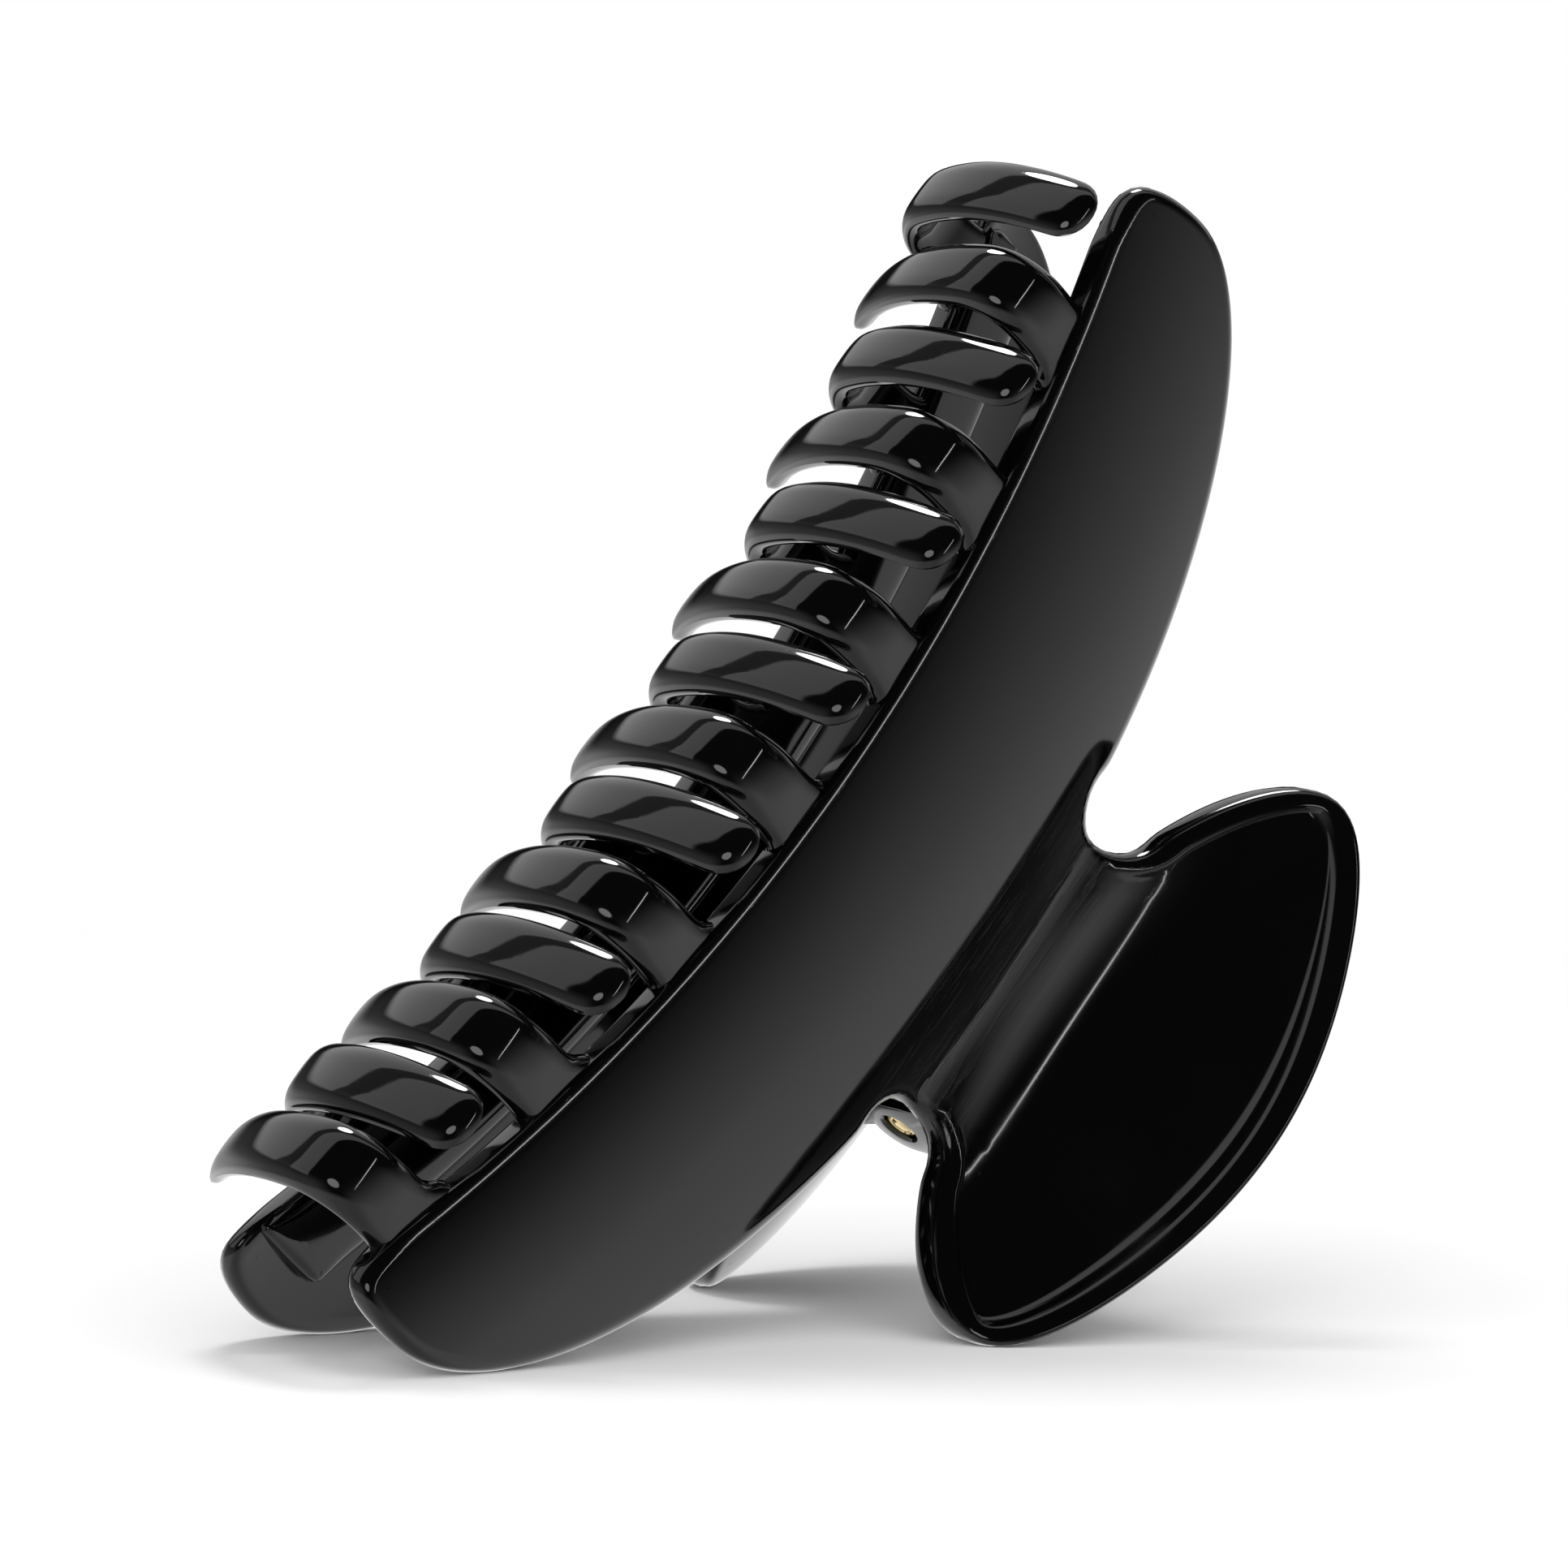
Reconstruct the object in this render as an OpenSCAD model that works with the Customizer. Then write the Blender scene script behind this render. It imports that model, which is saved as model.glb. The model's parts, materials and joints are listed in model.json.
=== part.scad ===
// Large hair claw clip: two sprung jaws that turn on one pin.
// Each jaw is a crescent wing with a dished thumb paddle, and a comb of
// curved fingers bonded inside the wing. The back jaw is the front jaw
// turned half a turn about the clip's upright middle line.
//
// Clip frame: X runs along the clip, parallel to the hinge pin, +Z from the
// necks to the fingers, -Y is the front jaw's side. stand() then tips the
// clip into the pose in which it stands by itself, on its two wing ends and
// its two paddles.

/* [Overall] */
// Length of a wing, tip to tip
clip_length = 134; // [115:1:160]
// Thickness of a wing and of its paddle
wall = 3; // [2.2:0.1:3.6]

/* [Wing] */
// Height of the finger side edge above the necks, at mid length
edge_height = 26; // [24:0.5:30]
// Height of the handle side edge above the necks, at mid length
back_edge_height = 0; // [-1:0.1:2]
// How far the wing's ends rise above its middle
wing_arch = 12; // [6:0.2:15]
// Distance from the clip's mid plane to the wing's outer face, at its bulge
wing_depth = 14.5; // [13.5:0.1:17.5]
// Radius of the wing's curved section
section_radius = 30; // [24:1:40]
// Height of the wing's rounded end above the necks, before the arch
end_height = 17.2; // [14:0.2:20]

/* [Neck] */
// Half of the width of the neck between wing and paddle
neck_half_width = 16; // [15:0.5:20]
// Distance from the mid plane to the neck's outer face
neck_depth = 9.5; // [9:0.1:12]
// Radius of the round notch at each side of the neck
notch_radius = 4.2; // [3:0.1:5.2]

/* [Paddle] */
// Width of the thumb paddle
paddle_width = 65; // [54:0.2:78]
// Height of the thumb paddle, seen square to the mid plane
paddle_height = 21; // [18:0.2:24]
// Pointedness of the paddle's two ends: 0 is a plain ellipse
paddle_point = 0.03; // [0:0.01:0.06]
// Outward slope of the paddle: sideways travel for each unit of drop
paddle_flare = 0.63; // [0.5:0.01:0.85]
// Outward curl of the paddle towards its rim
paddle_curl = 0.015; // [0:0.001:0.02]
// Depth of the thumb dish in the paddle's outer face
dish_depth = 3; // [0:0.1:4]

/* [Comb] */
// Number of fingers on each jaw
finger_count = 7; // [5:1:7]
// Distance between the fingers of one jaw
finger_pitch = 17.7; // [17:0.1:19]
// Width of a finger at its root
finger_width = 7.5; // [5.5:0.1:7.8]
// Thickness of a finger at its root
finger_thickness = 3.6; // [2.6:0.1:4]
// Radius of the finger's shoulder, where it leaves the wing
shoulder_radius = 7.9; // [6:0.1:9]
// Radius of the long curve from the shoulder to the tip
reach_radius = 32; // [28:0.5:42]
// Angle that the long curve runs past the finger's crest to the tip
reach_angle = 35.6; // [26:0.2:38]
// Share by which the end fingers are smaller than the middle one
end_shrink = 0.16; // [0:0.01:0.25]
// Thickness of the comb's root plate
plate_thickness = 2.2; // [1.6:0.1:3]
// Height of the comb's root plate
plate_height = 9; // [7:0.5:12]

/* [Hinge] */
// Distance from the necks' line down to the hinge pin
pin_drop = 9.3; // [8:0.1:11]
// Width of the hinge over its two outer lugs
hinge_width = 28.6; // [27:0.2:32]
// Diameter of the hinge pin
pin_d = 2.2; // [1.8:0.1:2.6]
// Running clearance on the pin's diameter
pin_clearance = 0.2; // [0.1:0.05:0.2]
// Thickness of each hinge lug, along the pin
lug_thickness = 3; // [2:0.1:3.2]
// Outer radius of each hinge lug
lug_radius = 3.8; // [3:0.1:4.5]
// Clearance between neighbouring pieces along the pin
side_clearance = 0.5; // [0.3:0.05:0.8]
// Diameter of the pin's head and of its cap
pin_head_d = 3.2; // [2.8:0.1:4]
// Thickness of the pin's head and of its cap
pin_head_thickness = 0.8; // [0.6:0.1:1]
// Depth of the round recess in which the head or the cap sits
recess_depth = 1.6; // [1.4:0.1:1.8]

/* [Spring] */
// Diameter of the spring wire
wire_d = 1.4; // [1:0.1:1.6]
// Number of turns in the coil
coil_turns = 9; // [6:1:10]
// Radius from the pin's axis to the middle of the wire
coil_radius = 3.9; // [3:0.1:4.4]

/* [Hidden] */

half_length = clip_length / 2;
paddle_half_width = paddle_width / 2;
paddle_half_height = paddle_height / 2;
paddle_top = -3.3;                      // top of the paddle's oval, hidden behind the neck
paddle_z = paddle_top - paddle_half_height;
bulge_height = (edge_height + back_edge_height) / 2;
neck_z = -1;                            // height at which the paddle starts to flare
neck_blend = 2;                         // softness of the crease between wing and paddle
bond_gap = 0.1;                         // glue line between a wing and its comb
finger_inset = 11;                      // from the mid plane to a finger's root face
comb_end_gap = 5;                       // from the wing's tip to the comb's end
notch_x = neck_half_width + notch_radius;
notch_z = -2.3;                         // height of the notches' centres
grid_x = 4.6;                           // facet size of the curved sheets
grid_z = 2.6;
outer_lug = (hinge_width - lug_thickness) / 2;   // places of a jaw's two lugs along the pin
inner_lug = outer_lug - lug_thickness - side_clearance;
lug_rise = 2.6;                         // a lug's web meets the paddle from this far above the pin
lug_fall = 6.6;                         // down to this far below it
lug_steps = 4;
head_play = 0.1;                        // between the head and the floor of its recess
recess_d = pin_head_d + 0.5;
crest_height = 38.2;                    // top of a finger's outer line, above the pin
crest_turn = -9.6;                      // where the shoulder arc meets the long arc
shoulder_end = -112;                    // where the shoulder arc meets the straight root
root_run = 5;                           // length of the straight root
pin_half = hinge_width / 2 - recess_depth + head_play;
cap_grip = pin_head_thickness * 0.6;    // how far the pin reaches into its cap
leg_angle = 105;                        // where the front leg leaves the coil
leg_length = 7.6;
corner_power = 44;                      // squareness of the wing's ends at the finger side

function smooth_max(a, b, k) = (a + b + sqrt((a - b) * (a - b) + k * k)) / 2;

// How far the wing's middle line has risen at x.
function arch(x) = wing_arch * pow(x / half_length, 2);

// Distance from the mid plane to the outer face at height h above the arch line.
function section_depth(h) = smooth_max(
    wing_depth - pow(h - bulge_height, 2) / (2 * section_radius),
    neck_depth + paddle_flare * (neck_z - h) + paddle_curl * pow(max(0, neck_z - h), 2),
    neck_blend);
function section_slope(h) = section_depth(h + 0.5) - section_depth(h - 0.5);

// The thumb dish: deepest in the middle of the paddle, nothing at its rim.
function paddle_ratio(x, z) = pow(x / paddle_half_width, 2) + pow((z - paddle_z) / paddle_half_height, 2);
function dish(x, z) = dish_depth * pow(max(0, 1 - paddle_ratio(x, z)), 1.5);

// Depth of the face that lies inset below the outer face.
function face_depth(x, h, inset) =
    section_depth(h) - inset * sqrt(1 + pow(section_slope(h), 2)) - dish(x, h + arch(x));

// Outline of a wing before the arch, for a wing that ends at x = half.
end_points = 14;
function low_edge(s) = end_height - (end_height - back_edge_height) * sqrt(1 - pow(s, 3));
function high_edge(s) = end_height + (edge_height - end_height) * sqrt(1 - pow(s, corner_power));
function eased(i) = sin(90 * i / end_points);
function half_outline(half) = concat(
    [for (i = [0 : end_points]) [half * eased(i), low_edge(eased(i))]],
    [for (i = [end_points - 1 : -1 : 0]) [half * eased(i), high_edge(eased(i))]]);
function arched(points) = [for (p = points) [p[0], p[1] + arch(p[0])]];
function mirrored(points) = [for (i = [len(points) - 1 : -1 : 0]) [-points[i][0], points[i][1]]];
wing_points = arched(half_outline(half_length));

// Outline of the paddle: an oval whose two ends are drawn out a little.
paddle_steps = 48;
paddle_points = [for (i = [0 : paddle_steps - 1]) let (a = 360 * i / paddle_steps)
    [paddle_half_width * (cos(a) + paddle_point * cos(3 * a)) / (1 + paddle_point),
     paddle_z + paddle_half_height * (sin(a) - paddle_point * sin(3 * a)) / (1 + paddle_point)]];

// The standing pose: the clip is tipped until a wing end and a paddle touch
// the same level line.
function drop(points, a) = max([for (p = points) p[0] * sin(a) - p[1] * cos(a)]);
function standing_angle(lo, hi, n) = let (a = (lo + hi) / 2) n == 0 ? a
    : drop(wing_points, a) > drop(paddle_points, a) ? standing_angle(lo, a, n - 1)
    : standing_angle(a, hi, n - 1);
stand_angle = standing_angle(20, 80, 30);
stand_height = drop(paddle_points, stand_angle);

module stand() {
    translate([0, 0, stand_height])
        rotate([0, -stand_angle, 0])
            children();
}

// Turns a shape drawn as (x, z) into a block that runs through the clip.
module through() {
    rotate([90, 0, 0])
        linear_extrude(height = 120, center = true)
            children();
}

// A curved sheet: every point between two depths, over a grid of x and h.
module sheet(inset, thickness, low, high) {
    nx = ceil(2 * half_length / grid_x);
    nz = ceil((high - low) / grid_z);
    row = nx + 1;
    layer = row * (nz + 1);
    points = [for (depth = [inset, inset + thickness]) for (j = [0 : nz]) for (i = [0 : nx])
        let (x = (half_length + 1) * (2 * i / nx - 1), h = low + (high - low) * j / nz)
        [x, -face_depth(x, h, depth), h + arch(x)]];
    quads = concat(
        [for (j = [0 : nz - 1]) for (i = [0 : nx - 1]) let (a = j * row + i)
            [a, a + 1, a + row + 1, a + row]],
        [for (j = [0 : nz - 1]) for (i = [0 : nx - 1]) let (a = layer + j * row + i)
            [a, a + row, a + row + 1, a + 1]],
        [for (i = [0 : nx - 1]) [i + 1, i, i + layer, i + 1 + layer]],
        [for (i = [0 : nx - 1]) let (a = nz * row + i) [a, a + 1, a + 1 + layer, a + layer]],
        [for (j = [0 : nz - 1]) let (a = j * row) [a, a + row, a + row + layer, a + layer]],
        [for (j = [0 : nz - 1]) let (a = j * row + nx) [a + row, a, a + layer, a + row + layer]]);
    faces = [for (q = quads) each [[q[0], q[2], q[1]], [q[0], q[3], q[2]]]];
    polyhedron(points, faces);
}

module wing_shape() {
    polygon(concat(wing_points, mirrored(wing_points)));
}

module paddle_shape() {
    polygon(paddle_points);
}

module neck_shape() {
    translate([-notch_x, paddle_z])
        square([2 * notch_x, end_height - paddle_z]);
}

module notches() {
    for (side = [-1, 1])
        translate([side * notch_x, notch_z])
            circle(r = notch_radius, $fn = 32);
}

// The wing, neck and paddle as one moulded sheet.
module shell() {
    intersection() {
        sheet(0, wall, paddle_z - paddle_half_height - arch(paddle_half_width) - 1, edge_height + 1);
        through()
            difference() {
                union() {
                    wing_shape();
                    paddle_shape();
                    neck_shape();
                }
                notches();
            }
    }
}

// Turns a shape drawn square to the pin, as (distance below it, y), into a
// slice at x, and carries it down to the pin.
module across_pin(x, width) {
    translate([x, 0, -pin_drop])
        rotate([0, 90, 0])
            linear_extrude(height = width, center = true)
                children();
}

// A lug: a round eye about the pin and a web that ends inside the paddle's wall.
module lug(x) {
    root = [for (i = [0 : lug_steps])
        let (below = lug_fall - (lug_fall + lug_rise) * i / lug_steps, z = -pin_drop - below)
        [below, -face_depth(x, z - arch(x), wall / 2)]];
    across_pin(x, lug_thickness) {
        circle(r = lug_radius, $fn = 48);
        polygon(concat([[-lug_radius, 0], [0, lug_radius * 0.9], [lug_radius, 0]], root));
    }
}

module along_pin(from, to, d) {
    translate([from, 0, -pin_drop])
        rotate([0, 90, 0])
            cylinder(h = to - from, d = d, $fn = 48);
}

module wing() {
    end = hinge_width / 2;
    difference() {
        union() {
            shell();
            lug(-outer_lug);
            lug(inner_lug);
        }
        along_pin(-end - 1, end + 1, pin_d + pin_clearance);
        along_pin(-end - 1, recess_depth - end, recess_d);
    }
}

// Finger k of a jaw, counted from the +X end, stands at this x.
function finger_x(k) = finger_pitch * ((finger_count - 1) / 2 - k) - finger_pitch / 4;
function finger_scale(x) = 1 - end_shrink * pow(x / (finger_pitch * finger_count / 2), 2);

// Outer line of a finger as [y, z, angle]: a straight root, a tight shoulder
// arc and a long arc that ends past the mid plane. Angles turn from the crest,
// positive towards the tip.
function long_arc(a) = [reach_radius * sin(a), crest_height + reach_radius * (cos(a) - 1), a];
function shoulder(a) = let (m = long_arc(crest_turn))
    [m[0] + shoulder_radius * (sin(a) - sin(crest_turn)),
     m[1] + shoulder_radius * (cos(a) - cos(crest_turn)), a];
root_line = concat(
    [let (m = shoulder(shoulder_end)) [m[0] + root_run * 0.25, m[1] - root_run, shoulder_end]],
    [for (i = [0 : 5]) shoulder(shoulder_end + (crest_turn - shoulder_end) * i / 5)],
    [for (i = [1 : 6]) long_arc(crest_turn + (reach_angle - crest_turn) * i / 6)]);

// Half of a finger's section as [across, inward] shares: a rounded outer face
// and a narrower inner one.
section = [[0, 0], [0.55, 0.04], [0.86, 0.2], [1, 0.45], [0.9, 0.8], [0.5, 1], [0, 1]];
function ring_shares() = concat(section, [for (i = [len(section) - 2 : -1 : 1]) [-section[i][0], section[i][1]]]);

module finger(k) {
    x = finger_x(k);
    size = finger_scale(x);
    shares = ring_shares();
    n = len(shares);
    steps = len(root_line) - 1;
    rings = [for (i = [0 : steps]) let (
            m = root_line[i],
            t = i / steps,
            w = finger_width / 2 * (1 - 0.12 * t * t) * (i == steps ? 0.55 : 1),
            d = finger_thickness * (1 - 0.35 * t) * (i == steps ? 0.5 : 1),
            sink = i == steps ? 0.25 * finger_thickness : 0)
        for (p = shares) let (inward = sink + p[1] * d)
        [x + p[0] * w,
         size * (m[0] - inward * sin(m[2]) + finger_inset) - finger_inset,
         size * (m[1] - inward * cos(m[2]) - edge_height) + edge_height + arch(x)]];
    sides = [for (i = [0 : steps - 1]) for (j = [0 : n - 1])
        let (a = i * n + j, b = i * n + (j + 1) % n)
        each [[a, a + n, b], [b, a + n, b + n]]];
    root_cap = [for (j = [1 : n - 2]) [0, j, j + 1]];
    tip_cap = [for (j = [1 : n - 2]) [steps * n, steps * n + j + 1, steps * n + j]];
    polyhedron(rings, concat(sides, root_cap, tip_cap));
}

// The root plate lies inside the wing, along its finger side edge.
module comb_plate() {
    plate_half = half_length - comb_end_gap;
    plate_points = arched(half_outline(plate_half));
    low = edge_height - plate_height;
    intersection() {
        sheet(wall + bond_gap, plate_thickness, low, edge_height);
        through()
            polygon(concat(plate_points, mirrored(plate_points)));
    }
}

// Everything that the wing fills, with the glue line round it. The fingers
// are cut to it, so that their roots come up inside the wing.
module wing_room() {
    sheet(-wall, 2 * wall + bond_gap, edge_height - plate_height, edge_height + bond_gap);
}

module comb() {
    comb_plate();
    difference() {
        for (k = [0 : finger_count - 1])
            finger(k);
        wing_room();
    }
}

module back_jaw() {
    rotate([0, 0, 180])
        children();
}

// The pin's head sits in the recess of the front jaw's outer lug.
module pin() {
    along_pin(-pin_half, pin_half + cap_grip, pin_d);
    along_pin(-pin_half - pin_head_thickness, -pin_half, pin_head_d);
}

// The cap is pushed onto the pin's other end, in the back jaw's recess.
module cap() {
    difference() {
        along_pin(pin_half, pin_half + pin_head_thickness, pin_head_d);
        along_pin(pin_half - 1, pin_half + cap_grip + 0.05, pin_d + 0.05);
    }
}

// Middle line of the spring wire: a leg to the front paddle, the coil, and a
// leg to the back paddle. The legs leave the coil along its tangent.
coil_half = inner_lug - lug_thickness / 2 - side_clearance - wire_d / 2;
function coil_point(t) = let (a = leg_angle - (2 * leg_angle - 180 + 360 * coil_turns) * t)
    [coil_half * (2 * t - 1), coil_radius * cos(a), coil_radius * sin(a) - pin_drop];
function leg_end(side) = [side * coil_half,
    side * (-coil_radius * cos(leg_angle) + leg_length * sin(leg_angle)),
    coil_radius * sin(leg_angle) + leg_length * cos(leg_angle) - pin_drop];
coil_steps = 14 * coil_turns;
wire_line = concat(
    [leg_end(-1)],
    [for (i = [0 : coil_steps]) coil_point(i / coil_steps)],
    [leg_end(1)]);

function unit(v) = v / norm(v);

module spring() {
    n = 8;
    last = len(wire_line) - 1;
    rings = [for (i = [0 : last]) let (
            along = unit(wire_line[min(i + 1, last)] - wire_line[max(i - 1, 0)]),
            out = unit(cross(along, [1, 0, 0])),
            up = cross(along, out))
        for (j = [0 : n - 1])
            wire_line[i] + wire_d / 2 * (cos(360 * j / n) * out + sin(360 * j / n) * up)];
    sides = [for (i = [0 : last - 1]) for (j = [0 : n - 1])
        let (a = i * n + j, b = i * n + (j + 1) % n)
        each [[a, a + n, b], [b, a + n, b + n]]];
    caps = concat(
        [for (j = [1 : n - 2]) [0, j, j + 1]],
        [for (j = [1 : n - 2]) [last * n, last * n + j + 1, last * n + j]]);
    polyhedron(rings, concat(sides, caps));
}

stand() color([0.06, 0.06, 0.07]) wing();  // front_wing
stand() color([0.09, 0.09, 0.1]) comb();  // front_comb
stand() back_jaw() color([0.06, 0.06, 0.07]) wing();  // back_wing
stand() back_jaw() color([0.09, 0.09, 0.1]) comb();  // back_comb
stand() color([0.8, 0.66, 0.35]) pin();  // hinge_pin
stand() color([0.8, 0.66, 0.35]) cap();  // pin_cap
stand() color([0.5, 0.5, 0.52]) spring();  // torsion_spring
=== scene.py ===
"""A large glossy hair claw clip, standing on its wing ends and thumb paddles.

Two jaws turn on one pin. Each jaw is a crescent wing with a dished paddle and
a comb of curved fingers inside it. The clip's own frame has X along the clip,
+Z from the necks to the fingers and -Y on the front jaw's side, all in
millimetres; a standing pose carries it into the shared frame in metres.
"""
import json
import logging
import math
from dataclasses import dataclass, field
from enum import Enum
from typing import Any, Callable, Sequence

import bmesh
import bpy
import numpy as np
from mathutils import Matrix, Vector
from mathutils.geometry import convex_hull_2d, delaunay_2d_cdt


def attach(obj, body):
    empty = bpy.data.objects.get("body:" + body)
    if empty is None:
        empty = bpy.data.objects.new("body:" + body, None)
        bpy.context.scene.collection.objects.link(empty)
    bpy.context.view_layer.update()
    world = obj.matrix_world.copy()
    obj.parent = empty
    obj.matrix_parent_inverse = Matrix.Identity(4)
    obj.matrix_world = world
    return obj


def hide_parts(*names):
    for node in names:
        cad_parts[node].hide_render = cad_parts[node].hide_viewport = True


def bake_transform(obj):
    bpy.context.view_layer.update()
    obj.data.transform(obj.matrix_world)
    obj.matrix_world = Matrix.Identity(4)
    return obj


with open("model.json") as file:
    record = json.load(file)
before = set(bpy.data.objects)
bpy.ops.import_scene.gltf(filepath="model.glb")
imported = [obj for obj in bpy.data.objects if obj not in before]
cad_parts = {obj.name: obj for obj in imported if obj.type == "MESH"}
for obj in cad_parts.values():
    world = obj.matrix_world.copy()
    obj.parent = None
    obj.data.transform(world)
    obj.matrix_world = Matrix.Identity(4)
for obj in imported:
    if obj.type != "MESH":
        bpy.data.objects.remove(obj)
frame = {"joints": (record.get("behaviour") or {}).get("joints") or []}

LOG = logging.getLogger("claw_clip")
MM = 0.001
WEAR = "wear"
SHARP_ANGLE = 42
Array = np.ndarray


class Jaw(Enum):
    """The clip's two jaws, which are the same shape turned half a turn."""

    FRONT = "front"
    BACK = "back"

    @property
    def body(self) -> str:
        """Name of the moving body that this jaw belongs to."""
        return f"{self.value}_jaw"

    @property
    def turn(self) -> float:
        """1 for the jaw as drawn, -1 for the jaw turned about the upright line."""
        return 1.0 if self is Jaw.FRONT else -1.0


# ---------------------------------------------------------------- sizes


def smooth_max(a: Array, b: Array, softness: float) -> Array:
    """Larger of two values, with a rounded corner where they meet."""
    return (a + b + np.sqrt((a - b) ** 2 + softness**2)) / 2


def smooth_step(value: Array, low: float, high: float) -> Array:
    """0 below low, 1 above high, and a smooth climb in between."""
    t = np.clip((value - low) / (high - low), 0.0, 1.0)
    return t * t * (3 - 2 * t)


@dataclass(frozen=True)
class ShellSizes:
    """Sizes of a wing, its neck and its paddle, in millimetres."""

    length: float = 134.0
    wall: float = 3.0
    edge_height: float = 26.0
    back_edge_height: float = 0.0
    arch_rise: float = 12.0
    wing_depth: float = 14.5
    section_radius: float = 30.0
    end_height: float = 17.2
    corner_power: float = 44.0
    neck_half_width: float = 16.0
    neck_depth: float = 9.5
    neck_z: float = -1.0
    neck_blend: float = 2.0
    notch_radius: float = 4.2
    notch_z: float = -2.3
    paddle_width: float = 65.0
    paddle_height: float = 21.0
    paddle_top: float = -3.3
    paddle_point: float = 0.03
    paddle_flare: float = 0.63
    paddle_curl: float = 0.015
    dish_depth: float = 3.0

    @property
    def half_length(self) -> float:
        """Half of the wing's length."""
        return self.length / 2

    @property
    def paddle_z(self) -> float:
        """Height of the paddle's middle."""
        return self.paddle_top - self.paddle_height / 2

    @property
    def notch_x(self) -> float:
        """Distance of a notch's centre from mid length."""
        return self.neck_half_width + self.notch_radius

    def arch(self, x: Array) -> Array:
        """How far the wing's middle line has risen at x."""
        return self.arch_rise * (x / self.half_length) ** 2

    def section_depth(self, h: Array) -> Array:
        """Distance from the mid plane to the outer face at height h above the arch."""
        bulge = (self.edge_height + self.back_edge_height) / 2
        below = self.neck_z - h
        wing = self.wing_depth - (h - bulge) ** 2 / (2 * self.section_radius)
        paddle = (
            self.neck_depth
            + self.paddle_flare * below
            + self.paddle_curl * np.maximum(below, 0.0) ** 2
        )
        return smooth_max(wing, paddle, self.neck_blend)

    def dish(self, x: Array, z: Array) -> Array:
        """Depth of the thumb dish: most in the paddle's middle, none at its rim."""
        ratio = (2 * x / self.paddle_width) ** 2
        ratio = ratio + (2 * (z - self.paddle_z) / self.paddle_height) ** 2
        return self.dish_depth * np.maximum(0.0, 1 - ratio) ** 1.5

    def face_depth(self, x: Array, z: Array, inset: Array) -> Array:
        """Distance from the mid plane to the face that lies inset below the outer one.

        Args:
            x: Places along the clip.
            z: Heights.
            inset: How far below the outer face, square to it.

        Returns:
            The distances, positive on the jaw's own side.
        """
        h = z - self.arch(x)
        slope = self.section_depth(h + 0.5) - self.section_depth(h - 0.5)
        return self.section_depth(h) - inset * np.sqrt(1 + slope**2) - self.dish(x, z)


@dataclass(frozen=True)
class CombSizes:
    """Sizes of a comb, in millimetres and degrees."""

    count: int = 7
    pitch: float = 17.7
    finger_width: float = 7.5
    finger_thickness: float = 3.6
    shoulder_radius: float = 7.9
    reach_radius: float = 32.0
    reach_angle: float = 35.6
    end_shrink: float = 0.16
    crest_height: float = 38.2
    crest_turn: float = -9.6
    shoulder_end: float = -112.0
    finger_inset: float = 11.0
    half_span: float = 61.9
    gullet_height: float = 25.4
    gullet_radius: float = 1.5
    root_thickness: float = 2.9
    edge_radius: float = 1.9
    dome: float = 0.55
    root_sink: float = 0.06
    strip_swell: float = 1.02

    def finger_x(self, k: int) -> float:
        """Place of finger k along the clip, counted from the +X end."""
        return self.pitch * ((self.count - 1) / 2 - k) - self.pitch / 4

    def scale(self, x: Array) -> Array:
        """Size of a finger at x as a share of the middle one."""
        return 1 - self.end_shrink * (x / (self.pitch * self.count / 2)) ** 2


@dataclass(frozen=True)
class HingeSizes:
    """Sizes of the hinge and its spring, in millimetres and degrees."""

    pin_drop: float = 9.3
    width: float = 28.6
    pin_d: float = 2.2
    clearance: float = 0.2
    lug_thickness: float = 3.0
    lug_radius: float = 3.8
    side_clearance: float = 0.5
    head_d: float = 3.2
    head_thickness: float = 0.8
    head_crown: float = 0.35
    recess_depth: float = 1.6
    head_play: float = 0.1
    lug_rise: float = 2.6
    lug_fall: float = 6.6
    fillet: float = 0.35
    wire_d: float = 1.4
    wire_sides: int = 18
    coil_turns: int = 9
    coil_radius: float = 3.9
    leg_angle: float = 105.0
    leg_length: float = 7.6

    @property
    def outer_lug(self) -> float:
        """Distance of a jaw's outer lug from mid length."""
        return (self.width - self.lug_thickness) / 2

    @property
    def inner_lug(self) -> float:
        """Distance of a jaw's inner lug from mid length."""
        return self.outer_lug - self.lug_thickness - self.side_clearance

    @property
    def coil_half(self) -> float:
        """Half of the coil's length, to the middle of its end turns."""
        return self.inner_lug - self.lug_thickness / 2 - self.side_clearance - self.wire_d / 2


# ---------------------------------------------------------------- frames


@dataclass(frozen=True)
class Standing:
    """Carries points from the clip's own frame into the shared frame."""

    tilt: float
    height: float

    @classmethod
    def from_joint(cls, joint: dict, hinge: HingeSizes) -> "Standing":
        """Finds the pose in which the clip stands.

        Args:
            joint: The opening joint, as the frame gives it.
            hinge: Sizes of the hinge.

        Returns:
            The standing pose.
        """
        tilt = math.atan2(-joint["axis"][2], -joint["axis"][0])
        return cls(tilt, joint["pos_m"][2] / MM + hinge.pin_drop * math.cos(tilt))

    def place(self, points: Array, jaw: Jaw = Jaw.FRONT) -> Array:
        """Points of a jaw, in the shared frame and in metres."""
        x, y, z = jaw.turn * points[:, 0], jaw.turn * points[:, 1], points[:, 2]
        c, s = math.cos(self.tilt), math.sin(self.tilt)
        return MM * np.stack([x * c - z * s, y, x * s + z * c + self.height], axis=1)


# ---------------------------------------------------------------- outlines


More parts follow.
